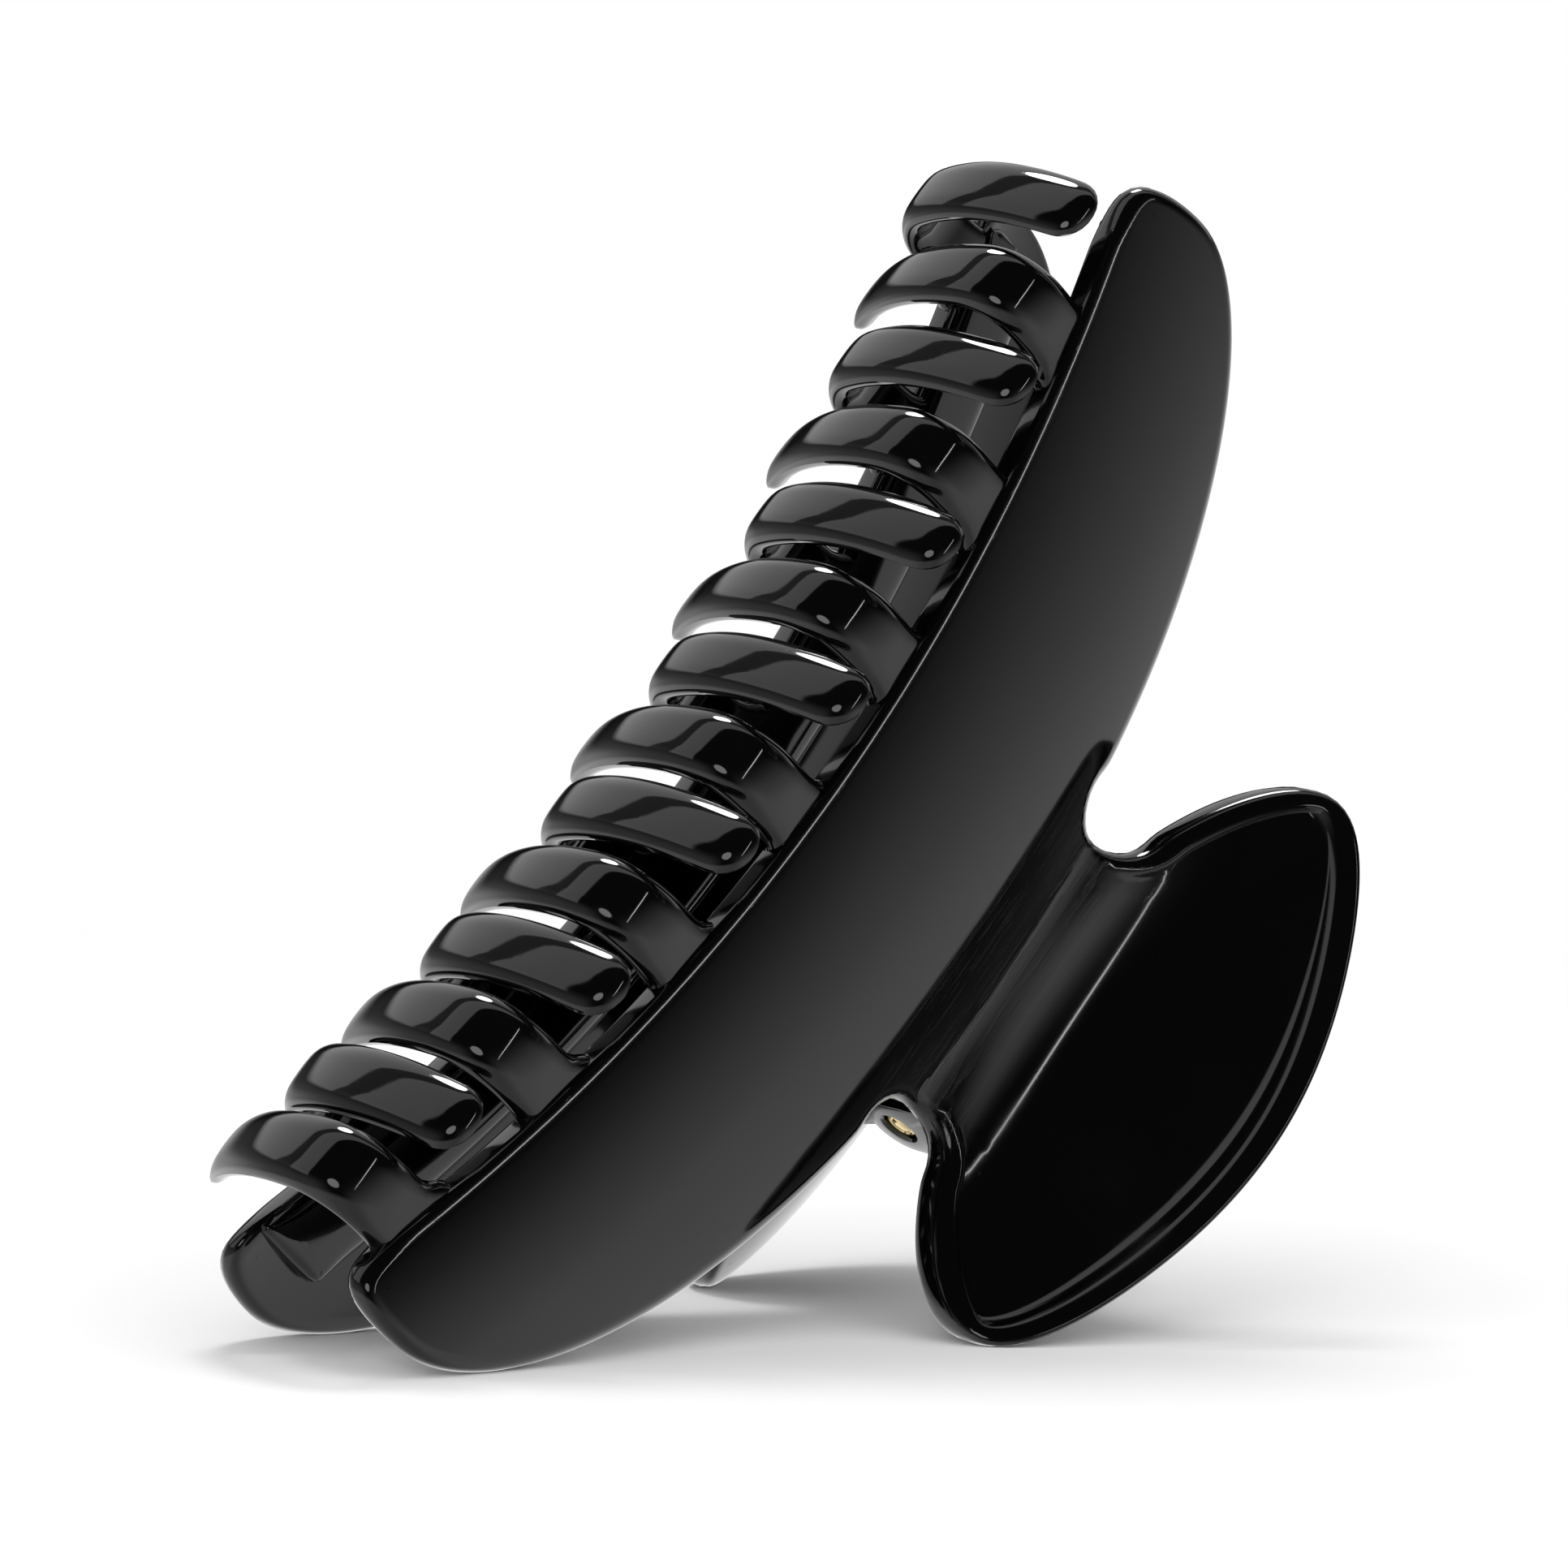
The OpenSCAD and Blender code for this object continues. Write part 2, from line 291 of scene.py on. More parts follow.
def resample(line: Array, step: float) -> Array:
    """A closed line through the same points at an even spacing.

    Args:
        line: Points of the line, the first not repeated.
        step: Wanted spacing.

    Returns:
        The evenly spaced points.
    """
    closed = np.vstack([line, line[:1]])
    run = np.concatenate([[0.0], np.cumsum(np.linalg.norm(np.diff(closed, axis=0), axis=1))])
    count = max(8, int(round(run[-1] / step)))
    at = np.linspace(0.0, run[-1], count, endpoint=False)
    return np.stack([np.interp(at, run, closed[:, 0]), np.interp(at, run, closed[:, 1])], axis=1)


def soften(line: Array, step: float, passes: int) -> Array:
    """A closed line with its corners rounded.

    Args:
        line: Points of the line.
        step: Spacing of the result.
        passes: How often each point is drawn towards its neighbours.

    Returns:
        The softened line.
    """
    fine = resample(line, 0.25)
    for _ in range(passes):
        fine = (np.roll(fine, 1, axis=0) + 2 * fine + np.roll(fine, -1, axis=0)) / 4
    return resample(fine, step)


def inward_normals(line: Array) -> Array:
    """Unit normals of an anticlockwise closed line, towards its inside."""
    along = np.roll(line, -1, axis=0) - np.roll(line, 1, axis=0)
    along = along / np.linalg.norm(along, axis=1, keepdims=True)
    return np.stack([-along[:, 1], along[:, 0]], axis=1)


def rim_room(line: Array, wanted: float) -> Array:
    """How far each point of a closed line can move inwards without a fold.

    Args:
        line: An anticlockwise line with even spacing.
        wanted: The most that any point should move.

    Returns:
        The distance for each point, eased along the line.
    """
    before, after = line - np.roll(line, 1, axis=0), np.roll(line, -1, axis=0) - line
    cross = before[:, 0] * after[:, 1] - before[:, 1] * after[:, 0]
    step = np.linalg.norm(after, axis=1)
    bend = np.maximum(cross / step**3, 1e-6)
    room = np.minimum(wanted, 0.8 / bend)
    for _ in range(2):
        room = np.minimum(room, np.minimum(np.roll(room, 1), np.roll(room, -1)))
    for _ in range(4):
        room = (np.roll(room, 1) + 2 * room + np.roll(room, -1)) / 4
    return room


def distance_to(line: Array, points: Array) -> Array:
    """Distance from each point to a closed line."""
    start, run = line, np.roll(line, -1, axis=0) - line
    square = (run**2).sum(axis=1)
    best = np.full(len(points), np.inf)
    for a, r, q in zip(start, run, square):
        t = np.clip(((points - a) @ r) / q, 0.0, 1.0)
        best = np.minimum(best, ((points - a - t[:, None] * r) ** 2).sum(axis=1))
    return np.sqrt(best)


def inside(line: Array, points: Array) -> Array:
    """Which points lie inside a closed line."""
    found = np.zeros(len(points), bool)
    for a, b in zip(line, np.roll(line, -1, axis=0)):
        crosses = (a[1] > points[:, 1]) != (b[1] > points[:, 1])
        if crosses.any():
            at = a[0] + (points[:, 1] - a[1]) * (b[0] - a[0]) / ((b[1] - a[1]) or 1e-12)
            found ^= crosses & (points[:, 0] < at)
    return found


# ---------------------------------------------------------------- meshes


def linked(name: str, data: Any) -> bpy.types.Object:
    """A new object in the scene that holds this mesh, light or camera."""
    obj = bpy.data.objects.new(name, data)
    bpy.context.scene.collection.objects.link(obj)
    return obj


def new_object(name: str, points: Array, faces: Sequence[Sequence[int]]) -> bpy.types.Object:
    """A smooth mesh object at the origin, with its faces turned outwards.

    Args:
        name: Name of the piece.
        points: Its points in the shared frame.
        faces: Its faces as lists of point numbers.

    Returns:
        The new object.
    """
    mesh = bpy.data.meshes.new(name)
    mesh.from_pydata([tuple(p) for p in points.tolist()], [], [tuple(f) for f in faces])
    work = bmesh.new()
    work.from_mesh(mesh)
    bmesh.ops.recalc_face_normals(work, faces=work.faces)
    work.to_mesh(mesh)
    work.free()
    mesh.shade_smooth()
    mesh.set_sharp_from_angle(angle=math.radians(SHARP_ANGLE))
    return linked(name, mesh)


@dataclass
class RoundedSheet:
    """A bent sheet with a rounded rim, filled between an outline's two faces.

    The sheet is laid out flat on an anticlockwise outline, and place() bends
    it. Its third argument runs from -1 on the outer face to 1 on the inner
    one, and its fourth is the distance from the outline.

    The sheet isn't closed everywhere: at a tight corner the innermost ring
    crosses itself, which leaves a small hole in each face.
    """

    outline: Array
    rim: float
    squareness: Array
    spacing: float
    place: Callable[[Array, Array, Array, Array], Array]
    quarter_steps: int = 6
    seam: float = 0.07
    flat_rings: tuple[float, ...] = (1.12, 1.25, 1.4, 1.58, 1.85)
    rubbed: Callable[[Array, Array], Array] | None = None

    def rim_rings(self) -> list[tuple[Array, Array]]:
        """Distance from the outline and share of the wall, ring by ring, for the rim."""
        rim = rim_room(self.outline, self.rim)
        even = np.ones(len(self.outline))
        flats = [(rim * share, even) for share in self.flat_rings]
        rings = [(inset, -side) for inset, side in flats[::-1]]
        for i in range(-self.quarter_steps, self.quarter_steps + 1):
            turn = math.radians(90 * i / self.quarter_steps)
            inset = rim * (1 - abs(math.cos(turn)) ** self.squareness)
            share = np.sign(turn) * abs(math.sin(turn)) ** self.squareness
            if abs(i) == 1:
                inset = inset + self.seam
            rings.append((inset, share * even))
        return rings + flats

    def fill(self, border: Array) -> tuple[Array, list[list[int]]]:
        """Inner points and the triangles between them and the border.

        Where the border crosses itself, the loop beyond the crossing gets no
        triangles, and those that touch the crossing are left out.

        Args:
            border: The closed line round the flat part of the sheet.

        Returns:
            The inner points, and triangles whose numbers count the border first.
        """
        low, high = border.min(axis=0), border.max(axis=0)
        rows = np.arange(low[1], high[1], self.spacing * 0.87)
        grid = [
            (x + (0.5 * self.spacing if j % 2 else 0.0), y)
            for j, y in enumerate(rows)
            for x in np.arange(low[0], high[0], self.spacing)
        ]
        points = np.array(grid)
        points = points[inside(border, points)]
        points = points[distance_to(border, points) > 0.55 * self.spacing]
        every = np.vstack([border, points])
        count = len(border)
        loop = [list(range(count))]
        _, _, triangles, source, _, _ = delaunay_2d_cdt(
            [Vector(p) for p in every], [], loop, 1, 1e-6
        )
        numbers = [ids[0] if ids else -1 for ids in source]
        triangles = [t for t in triangles if min(numbers[i] for i in t) >= 0]
        return points, [[numbers[i] for i in t] for t in triangles]

    def build(self, name: str, standing: Standing, jaw: Jaw) -> bpy.types.Object:
        """Makes the sheet's object.

        Args:
            name: Name of the piece.
            standing: The clip's standing pose.
            jaw: The jaw that the sheet belongs to.

        Returns:
            The new object.
        """
        normals = inward_normals(self.outline)
        layers, count = [], len(self.outline)
        for inset, share in self.rim_rings():
            flat = self.outline + normals * inset[:, None]
            layers.append((flat, share, inset))
        border = layers[0][0]
        inner, triangles = self.fill(border)
        away = distance_to(self.outline, inner)
        for side in (-1.0, 1.0):
            layers.append((inner, np.full(len(inner), side), away))
        flat = np.vstack([layer[0] for layer in layers])
        share = np.concatenate([layer[1] for layer in layers])
        depth = np.concatenate([layer[2] for layer in layers])
        points = self.place(flat[:, 0], flat[:, 1], share, depth)
        rings = len(layers) - 2
        faces = []
        for j in range(rings - 1):
            for i in range(count):
                a, b = j * count + i, j * count + (i + 1) % count
                faces.append([a, b, b + count, a + count])
        for border_start, inner_start, flip in (
            (0, rings * count, False),
            ((rings - 1) * count, rings * count + len(inner), True),
        ):
            for triangle in triangles:
                ids = [
                    i + border_start if i < count else i - count + inner_start for i in triangle
                ]
                faces.append(ids[::-1] if flip else ids)
        made = new_object(name, standing.place(points, jaw), faces)
        if self.rubbed is not None:
            worn = self.rubbed(flat[:, 0], flat[:, 1])
            layer = made.data.attributes.new(WEAR, "FLOAT", "POINT")
            layer.data.foreach_set("value", worn.astype(np.float32))
        return made


@dataclass(frozen=True)
class Ring:
    """One ring of a turned shape: its place along the axis and its radius."""

    at: float
    radius: float | Array


def turned(
    name: str,
    rings: Sequence[Ring],
    drop: float,
    standing: Standing,
    jaw: Jaw,
    steps: int = 72,
    closed: bool = False,
) -> bpy.types.Object:
    """A shape turned about the hinge pin's axis.

    Args:
        name: Name of the piece.
        rings: Its rings in order. A radius may differ from angle to angle.
        drop: Distance of the axis below the necks' line.
        standing: The clip's standing pose.
        jaw: The jaw that the piece belongs to.
        steps: Number of points round the axis.
        closed: Whether the last ring joins the first, as round a bore.

    Returns:
        The new object.
    """
    angles = np.arange(steps) * 2 * math.pi / steps
    layers = []
    for ring in rings:
        radius = ring.radius * np.ones(steps)
        layers.append(
            np.stack(
                [np.full(steps, ring.at), radius * np.cos(angles), radius * np.sin(angles) - drop],
                axis=1,
            )
        )
    points, faces = np.vstack(layers), []
    pairs = [(j, j + 1) for j in range(len(rings) - 1)] + ([(len(rings) - 1, 0)] if closed else [])
    for j, k in pairs:
        for i in range(steps):
            n = (i + 1) % steps
            faces.append([j * steps + i, j * steps + n, k * steps + n, k * steps + i])
    if not closed:
        faces.append(list(range(steps))[::-1])
        faces.append([(len(rings) - 1) * steps + i for i in range(steps)])
    return new_object(name, standing.place(points, jaw), faces)


# ---------------------------------------------------------------- shader maths


class Value:
    """A shader socket that Python's operators work on."""

    def __init__(self, graph: "Graph", socket: Any) -> None:
        """Wraps one output socket of a graph."""
        self.graph, self.socket = graph, socket

    def _math(self, kind: str, *others: Any) -> "Value":
        """A Math node of this kind on this value and the others."""
        return self.graph.math(kind, self, *others)

    def __add__(self, other: Any) -> "Value":
        """Sum."""
        return self._math("ADD", other)

    __radd__ = __add__

    def __mul__(self, other: Any) -> "Value":
        """Product."""
        return self._math("MULTIPLY", other)

    __rmul__ = __mul__

    def __sub__(self, other: Any) -> "Value":
        """Difference."""
        return self._math("SUBTRACT", other)

    def __rsub__(self, other: Any) -> "Value":
        """Difference, with this value taken away."""
        return self.graph.math("SUBTRACT", other, self)

    def __pow__(self, other: Any) -> "Value":
        """Power."""
        return self._math("POWER", other)


class Graph:
    """Builds the nodes of one material or world."""

    def __init__(self, tree: bpy.types.NodeTree) -> None:
        """Starts an empty tree."""
        self.tree = tree
        tree.nodes.clear()

    def node(self, kind: str, inputs: dict | None = None, **settings: Any) -> bpy.types.Node:
        """Adds a node.

        Args:
            kind: The node's type.
            inputs: Values or links of its sockets, by name or number.
            **settings: Its own settings, which are set first.

        Returns:
            The node.
        """
        made = self.tree.nodes.new(kind)
        for key, value in settings.items():
            setattr(made, key, value)
        for key, value in (inputs or {}).items():
            socket = made.inputs[key]
            if isinstance(value, Value):
                self.tree.links.new(value.socket, socket)
            else:
                socket.default_value = value
        return made

    def sockets(self, shape: str, sizes: dict[str, str], result: str) -> dict[str, Value]:
        """Declares a geometry tree's inputs and output.

        Args:
            shape: Name of the geometry input.
            sizes: Socket kind of every other input, by name.
            result: Name of the geometry output.

        Returns:
            The inputs by name.
        """
        face = self.tree.interface
        for name, kind in {shape: "Geometry", **sizes}.items():
            face.new_socket(name, in_out="INPUT", socket_type=f"NodeSocket{kind}")
        face.new_socket(result, in_out="OUTPUT", socket_type="NodeSocketGeometry")
        given = self.node("NodeGroupInput")
        return {item.name: Value(self, item) for item in given.outputs if item.name}

    def finished(self, shape: Value, finish: Value, result: str) -> None:
        """Ends a geometry tree: realizes its instances and sets its material."""
        solid = self.out("GeometryNodeRealizeInstances", 0, {"Geometry": shape})
        done = self.out("GeometryNodeSetMaterial", 0, {"Geometry": solid, "Material": finish})
        self.node("NodeGroupOutput", {result: done})

    def out(self, kind: str, name: str | int, inputs: dict | None = None, **settings: Any) -> Value:
        """Adds a node and gives one of its outputs."""
        return Value(self, self.node(kind, inputs, **settings).outputs[name])

    def math(self, kind: str, *values: Any) -> Value:
        """Adds a Math node on these values."""
        return self.out("ShaderNodeMath", 0, dict(enumerate(values)), operation=kind)

    def ramp(self, value: Value, low: float, high: float) -> Value:
        """0 below low and 1 above high, with a smooth climb in between."""
        return self.out(
            "ShaderNodeMapRange",
            "Result",
            {"Value": value, "From Min": low, "From Max": high},
            interpolation_type="SMOOTHSTEP",
        )

    def noise(self, at: Value, scale: float, detail: float = 2.0, **more: float) -> Value:
        """A noise pattern of this scale at these coordinates."""
        return self.out(
            "ShaderNodeTexNoise", 0, {"Vector": at, "Scale": scale, "Detail": detail, **more}
        )

    def blend(self, share: Value, first: Sequence[float], second: Sequence[float]) -> Value:
        """A colour between two, by share."""
        return self.out(
            "ShaderNodeMix",
            2,
            {"Factor": share, 6: (*first, 1.0), 7: (*second, 1.0)},
            data_type="RGBA",
        )


def grown(seed: bpy.types.Object, tree: bpy.types.NodeTree, values: dict) -> bpy.types.Mesh:
    """Runs a node tree on an object and keeps only the mesh that comes out.

    Args:
        seed: The object that the tree starts from. It is used up.
        tree: The node tree.
        values: Values of the tree's inputs, by name.

    Returns:
        The plain mesh.
    """
    modifier = seed.modifiers.new("grown", "NODES")
    modifier.node_group = tree
    for item in tree.interface.items_tree:
        if item.in_out == "INPUT" and item.name in values:
            modifier[item.identifier] = values[item.name]
    bpy.context.view_layer.update()
    solid = seed.evaluated_get(bpy.context.evaluated_depsgraph_get())
    mesh = bpy.data.meshes.new_from_object(solid)
    bpy.data.objects.remove(seed)
    return mesh


# ---------------------------------------------------------------- finishes


class Finish:
    """A finish that can make its own material."""

    name: str
    slot: str

    def material(self) -> bpy.types.Material:
        """The finish's material, made on first use."""
        found = bpy.data.materials.get(self.name)
        if found is None:
            found = bpy.data.materials.new(self.name)
            found.use_nodes = True
            self.shade(Graph(found.node_tree))
        return found

    def shade(self, graph: Graph) -> None:
        """Fills the material's nodes."""
        raise NotImplementedError

    def dress(self, obj: bpy.types.Object) -> None:
        """Puts the finish on a piece."""
        obj.data.materials.clear()
        obj.data.materials.append(self.material())


@dataclass(frozen=True)
class GlossPlastic(Finish):
    """Polished black plastic with faint handling marks and a hard, clear skin."""

    name: str
    slot: str
    dark: tuple[float, float, float] = (0.0012, 0.0012, 0.0014)
    light: tuple[float, float, float] = (0.0022, 0.0023, 0.0026)
    polish: float = 0.055
    smudge: float = 0.10
    scratch: float = 0.05
    ripple: float = 0.00002
    coat: float = 0.25
    lie: float = 0.8597

    def shade(self, graph: Graph) -> None:
        """Clouded pigment, smudges, hairline scratches and a faint moulding ripple."""
        at = graph.out("ShaderNodeTexCoord", "Object")
        cloud = graph.noise(at, 60.0, 4.0)
        marks = graph.ramp(graph.noise(at, 95.0, 6.0, Distortion=0.6), 0.52, 0.72)
        wiped = graph.ramp(graph.noise(at, 22.0, 2.0), 0.35, 0.7)
        lengthwise = graph.out(
            "ShaderNodeMapping", 0, {"Vector": at, "Rotation": (0.0, self.lie, 0.0)}
        )
        stretched = graph.out(
            "ShaderNodeMapping", 0, {"Vector": lengthwise, "Scale": (45.0, 900.0, 900.0)}
        )
        streaks = graph.noise(stretched, 3.0, 4.0)
        hairs = graph.ramp(streaks, 0.66, 0.74)
        wear = graph.out("ShaderNodeAttribute", "Fac", attribute_name=WEAR)
        rubs = wear * graph.ramp(streaks, 0.48, 0.66)
        roughness = (
            self.polish + marks * wiped * self.smudge + hairs * wiped * self.scratch + rubs * 0.22
        )
        height = graph.noise(at, 130.0, 2.0) - hairs * 0.12 - rubs * 0.9
        bump = graph.out(
            "ShaderNodeBump",
            0,
            {"Strength": 0.5, "Distance": self.ripple, "Height": height},
        )
        surface = graph.out(
            "ShaderNodeBsdfPrincipled",
            0,
            {
                "Base Color": graph.blend(cloud, self.dark, self.light),
                "Roughness": roughness,
                "IOR": 1.5,
                "Coat Weight": self.coat + wiped * 0.1,
                "Coat Roughness": 0.03,
                "Normal": bump,
            },
        )
        graph.node("ShaderNodeOutputMaterial", {"Surface": surface})


@dataclass(frozen=True)
class TurnedMetal(Finish):
    """Bright metal with fine turning marks and a little tarnish."""

    name: str
    slot: str
    bright: tuple[float, float, float]
    dull: tuple[float, float, float]
    polish: float = 0.18
    tarnish: float = 0.22
    grain: float = 2600.0

    def shade(self, graph: Graph) -> None:
        """Tarnish clouds in the colour, and grain in the roughness and bump."""
        at = graph.out("ShaderNodeTexCoord", "Object")
        cloud = graph.ramp(graph.noise(at, 420.0, 5.0), 0.38, 0.68)
        grain = graph.noise(at, self.grain, 3.0)
        bump = graph.out(
            "ShaderNodeBump", 0, {"Strength": 0.6, "Distance": 0.00003, "Height": grain}
        )
        surface = graph.out(
            "ShaderNodeBsdfPrincipled",
            0,
            {
                "Base Color": graph.blend(cloud, self.bright, self.dull),
                "Metallic": 1.0,
                "Roughness": self.polish + cloud * self.tarnish + grain * 0.08,
                "Normal": bump,
            },
        )
        graph.node("ShaderNodeOutputMaterial", {"Surface": surface})


WING_PLASTIC = GlossPlastic("wing_plastic_black", "wing_plastic", polish=0.075, smudge=0.10)
COMB_PLASTIC = GlossPlastic("comb_plastic_black", "comb_plastic")
BRASS = TurnedMetal("pin_brass", "pin_brass", (0.86, 0.66, 0.30), (0.55, 0.38, 0.14))
SPRING_STEEL = TurnedMetal(
    "spring_steel", "spring_steel", (0.52, 0.52, 0.54), (0.24, 0.24, 0.26), polish=0.24
)


# ---------------------------------------------------------------- sub-assemblies


@dataclass
class Wing:
    """One moulded wing with its neck, dished paddle and two hinge lugs."""

    jaw: Jaw
    standing: Standing
    shell: ShellSizes = field(default_factory=ShellSizes)
    hinge: HingeSizes = field(default_factory=HingeSizes)
    finish: Finish = WING_PLASTIC
    bead: float = 0.55
    bead_width: tuple[float, float] = (1.75, 2.35)
    bead_drop: tuple[float, float] = (4.5, 8.0)
    spacing: float = 1.05
    outline_step: float = 0.85
    corner_passes: int = 14
    edge_band: tuple[float, float] = (3.0, 0.4)
    edge_ends: tuple[float, float] = (58.0, 64.0)
    edge_square: float = 0.58
    rim_drop: tuple[float, float] = (5.0, 9.0)
    rim_square: float = 0.3
    wear_width: tuple[float, float] = (16.0, 26.0)
    wear_low: tuple[float, float] = (-8.0, -4.0)
    wear_high: tuple[float, float] = (2.0, 6.0)
    lug_steps: int = 144

    def paddle_line(self) -> Array:
        """The paddle's outline for +X, from its top to its bottom."""
        size, p = self.shell, self.shell.paddle_point
        a = np.radians(np.linspace(90, -90, 500))
        x = size.paddle_width / 2 * (np.cos(a) + p * np.cos(3 * a)) / (1 + p)
        z = size.paddle_height / 2 * (np.sin(a) - p * np.sin(3 * a)) / (1 + p)
        return np.stack([x, size.paddle_z + z], axis=1)

    def half_line(self) -> Array:
        """The whole outline for +X, from the finger side edge round to the paddle's bottom."""
        size = self.shell
        s = np.sin(np.radians(np.linspace(0, 90, 400)))
        rise = size.arch(size.half_length * s)
        span = size.edge_height - size.end_height
        high = size.end_height + span * np.sqrt(1 - s**size.corner_power)
        fall = size.end_height - size.back_edge_height
        low = size.end_height - fall * np.sqrt(1 - s**3)
        top = np.stack([size.half_length * s, high + rise], axis=1)
        under = np.stack([size.half_length * s, low + rise], axis=1)[::-1]
        centre = np.array([size.notch_x, size.notch_z])
        clear = np.linalg.norm(under - centre, axis=1) > size.notch_radius
        under = under[clear & (under[:, 0] > size.notch_x)]
        paddle = self.paddle_line()
        clear = np.linalg.norm(paddle - centre, axis=1) > size.notch_radius
        lower = paddle[:, 1] < size.paddle_z
        paddle = paddle[lower | (clear & (paddle[:, 0] > size.notch_x))]
        first = math.atan2(*(under[-1] - centre)[::-1])
        last = math.atan2(*(paddle[0] - centre)[::-1]) + 2 * math.pi
        a = np.linspace(first, last, 120)[1:-1]
        notch = centre + size.notch_radius * np.stack([np.cos(a), np.sin(a)], axis=1)
        return np.vstack([top, under, notch, paddle])

    def outline(self) -> Array:
        """The shell's anticlockwise outline, with its corners softened."""
        half = self.half_line()
        whole = np.vstack([half, half[-2:0:-1] * np.array([-1.0, 1.0])])[::-1]
        return soften(whole, self.outline_step, self.corner_passes)

    def bend(self, x: Array, z: Array, share: Array, away: Array) -> Array:
        """Bends the flat shell, and sinks the paddle's face inside its raised rim."""
        size = self.shell
        inset = size.wall / 2 * (1 + share)
        sunk = smooth_step(away, *self.bead_width) * smooth_step(-z, *self.bead_drop)
        inset = inset + self.bead * sunk * np.clip(-share, 0.0, 1.0)
        return np.stack([x, -size.face_depth(x, z, inset), z], axis=1)

    def neck_wear(self, x: Array, z: Array) -> Array:
        """Where the moulding is drawn into fine streaks: across the neck and its crease."""
        across = 1 - smooth_step(np.abs(x), *self.wear_width)
        below, above = self.wear_low, self.wear_high
        return across * smooth_step(z, *below) * (1 - smooth_step(z, *above))

    def build_shell(self) -> bpy.types.Object:
        """The wing, neck and paddle as one rounded sheet."""
        line = self.outline()
        size = self.shell
        h = line[:, 1] - size.arch(line[:, 0])
        low, high = self.edge_band
        at_edge = smooth_step(h, size.edge_height - low, size.edge_height - high)
        at_edge = at_edge * (1 - smooth_step(np.abs(line[:, 0]), *self.edge_ends))
        at_rim = smooth_step(-line[:, 1], *self.rim_drop)
        squareness = 1 - self.edge_square * at_edge - self.rim_square * at_rim
        sheet = RoundedSheet(
            line, size.wall / 2, squareness, self.spacing, self.bend, rubbed=self.neck_wear
        )
        return sheet.build(f"{self.jaw.value}_wing_shell", self.standing, self.jaw)

    def lug_reach(self, x: float, steps: int) -> Array:
        """Distance from the pin to the lug's outline, angle by angle.

        Args:
            x: Place of the lug along the pin.
            steps: Number of angles.

        Returns:
            The distances.
        """
        size, hinge = self.shell, self.hinge
        a = np.arange(48) * 2 * math.pi / 48
        eye = hinge.lug_radius * np.stack([np.cos(a), np.sin(a)], axis=1)
        below = np.linspace(hinge.lug_fall, -hinge.lug_rise, 9)
        z = -hinge.pin_drop - below
        depth = size.face_depth(np.full(9, x), z, np.full(9, size.wall / 2))
        root = np.stack([-depth, -below], axis=1)
        every = [Vector(p) for p in np.vstack([eye, root])]
        hull = np.array([every[i] for i in convex_hull_2d(every)])
        reach = np.zeros(steps)
        for i, angle in enumerate(np.arange(steps) * 2 * math.pi / steps):
            ray = np.array([math.cos(angle), math.sin(angle)])
            for p, q in zip(hull, np.roll(hull, -1, axis=0)):
                side = np.array([ray[1], -ray[0]])
                dp, dq = p @ side, q @ side
                if dp * dq <= 0 and abs(dp - dq) > 1e-9:
                    hit = p + (q - p) * dp / (dp - dq)
                    reach[i] = max(reach[i], hit @ ray)
        return reach

    def build_lug(self, name: str, x: float, recess_side: int) -> bpy.types.Object:
        """A lug: an eye about the pin with a web into the paddle.

        Args:
            name: Name of the piece.
            x: Place of the lug along the pin.
            recess_side: -1 for a lug with a recess on its -X face, or 0.

        Returns:
            The new object.
        """
        hinge, steps = self.hinge, self.lug_steps
        reach = self.lug_reach(x, steps)
        f, half = hinge.fillet, hinge.lug_thickness / 2
        bore = (hinge.pin_d + hinge.clearance) / 2
        recess = hinge.head_d / 2 + 0.25
        inner = [
            Ring(x + half, bore + 0.15),
            Ring(x + half, reach - f),
            Ring(x + half - 0.3 * f, reach - 0.3 * f),
            Ring(x + half - f, reach),
            Ring(x - half + f, reach),
            Ring(x - half + 0.3 * f, reach - 0.3 * f),
            Ring(x - half, reach - f),
        ]
        if recess_side:
            floor = x - half + hinge.recess_depth
            mouth = [
                Ring(x - half, recess + 0.25),
                Ring(x - half + 0.25, recess),
                Ring(floor, recess),
                Ring(floor, bore),
            ]
        else:
            mouth = [Ring(x - half, bore + 0.15), Ring(x - half + 0.15, bore)]
        rings = inner + mouth + [Ring(x + half - 0.15, bore)]
        return turned(name, rings, hinge.pin_drop, self.standing, self.jaw, steps, closed=True)

    def build(self) -> list[bpy.types.Object]:
        """Makes, dresses and hangs the wing's pieces."""
        side = self.jaw.value
        pieces = [
            self.build_shell(),
            self.build_lug(f"{side}_lug_outer", -self.hinge.outer_lug, -1),
            self.build_lug(f"{side}_lug_inner", self.hinge.inner_lug, 0),
        ]
        for piece in pieces:
            self.finish.dress(piece)
            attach(piece, self.jaw.body)
        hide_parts(f"{side}_wing")
        return pieces


